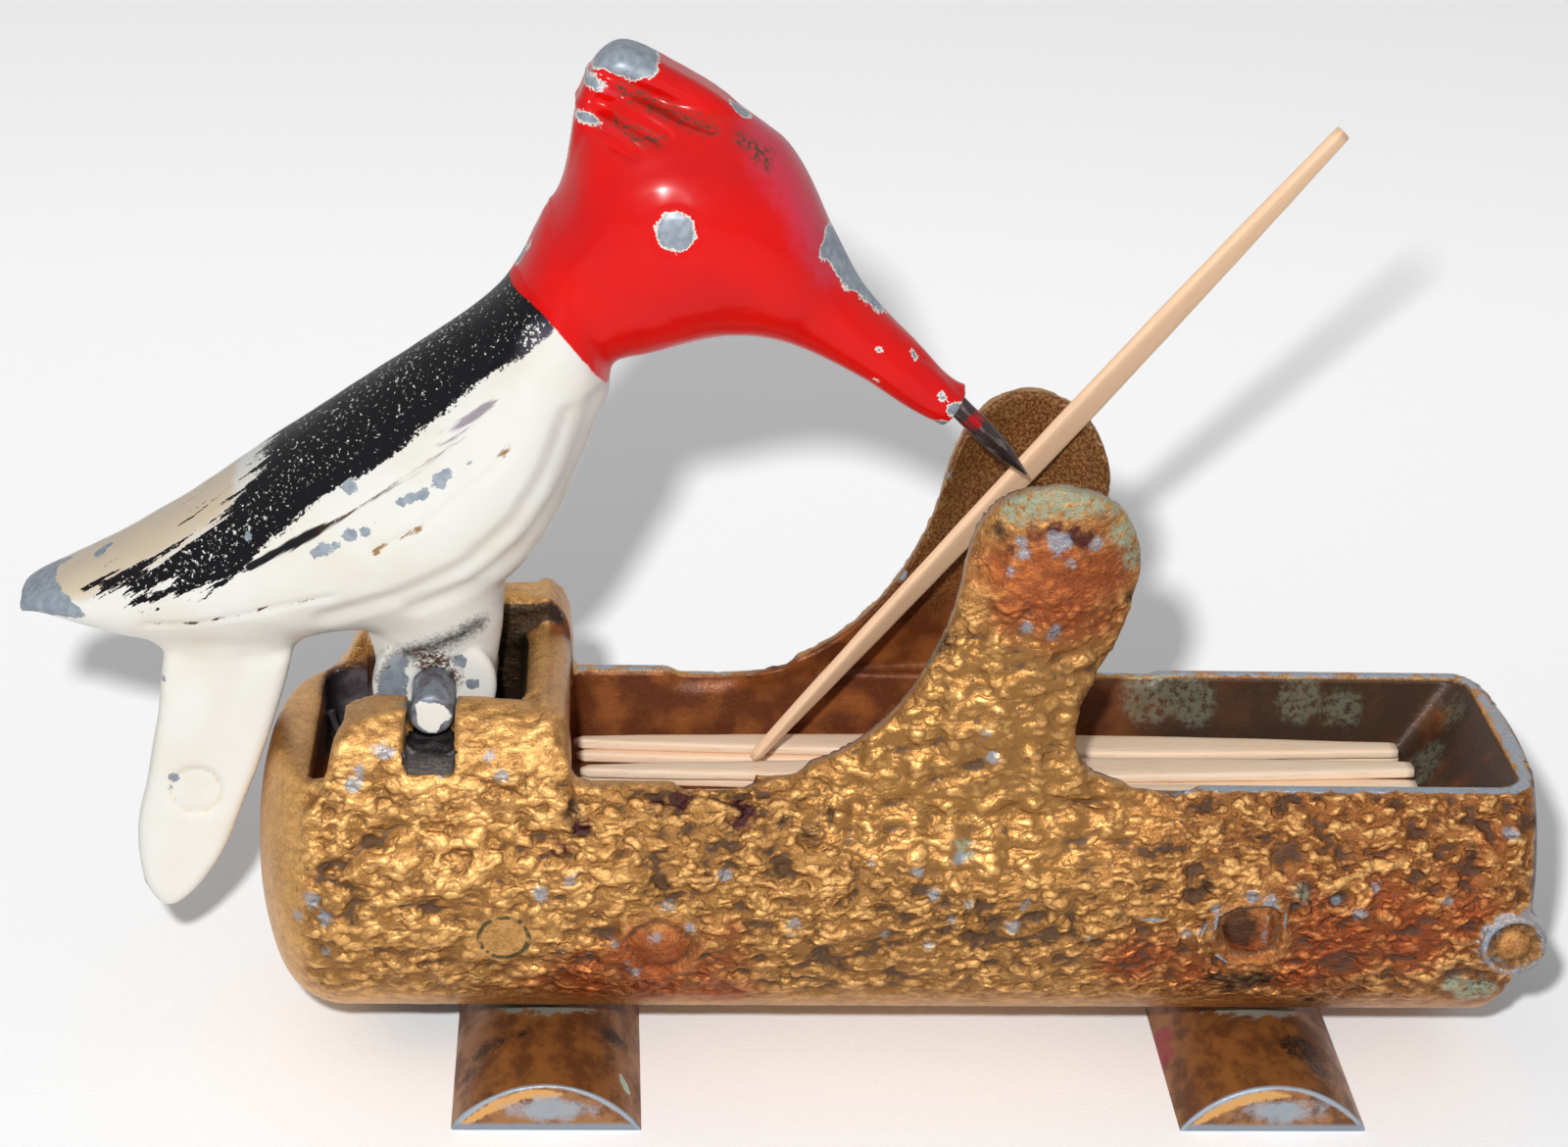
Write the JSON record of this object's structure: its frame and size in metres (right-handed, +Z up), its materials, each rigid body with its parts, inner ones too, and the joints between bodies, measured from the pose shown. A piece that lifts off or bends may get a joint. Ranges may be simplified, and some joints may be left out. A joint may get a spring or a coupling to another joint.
{
  "type": "toothpick dispenser",
  "caption": "Cast woodpecker tilts on a pin over a bark log trough, dips its needle between two branch stubs and lifts out a flat toothpick.",
  "frame": {"origin": "under the middle of the whole object, on the surface that its two feet stand on", "axes": "+X along the log towards the open trough's far end, -Y the side that faces a guest, +Z up"},
  "size_m": [0.1062, 0.03, 0.0736],
  "materials": {
    "bronze_bark": "bronze paint over cast zinc bark, worn",
    "bird_enamel": "cream, black and red gloss enamel over cast zinc, chipped",
    "dark_steel": "dark steel with traces of red enamel",
    "worn_pin": "steel with worn cream enamel on its end",
    "spring_steel": "plain spring wire",
    "birch": "plain birch"
  },
  "bodies": {
    "log": {"log_casting": "bronze_bark", "left_foot": "bronze_bark", "right_foot": "bronze_bark", "return_spring": "spring_steel", "toothpick_1": "birch", "toothpick_2": "birch", "toothpick_3": "birch", "toothpick_4": "birch", "toothpick_5": "birch", "toothpick_6": "birch"},
    "bird": {"bird_casting": "bird_enamel", "beak_needle": "dark_steel", "pivot_pin": "worn_pin"},
    "lifted_pick": {"presented_toothpick": "birch"}
  },
  "joints": [
    {"name": "bird_tilt", "type": "hinge", "parent": "log", "child": "bird", "pos_m": [-0.0249, 0, 0.02825], "axis": [0, 1, 0], "range_deg": [0, 30], "stiffness_Nm_per_rad": 0.016, "springref_deg": -11.46, "deforming": ["return_spring"]},
    {"name": "toothpick_draw", "type": "slide", "parent": "log", "child": "lifted_pick", "axis": [0.6621, 0.1603, 0.732], "range_m": [0, 0.07]}
  ]
}
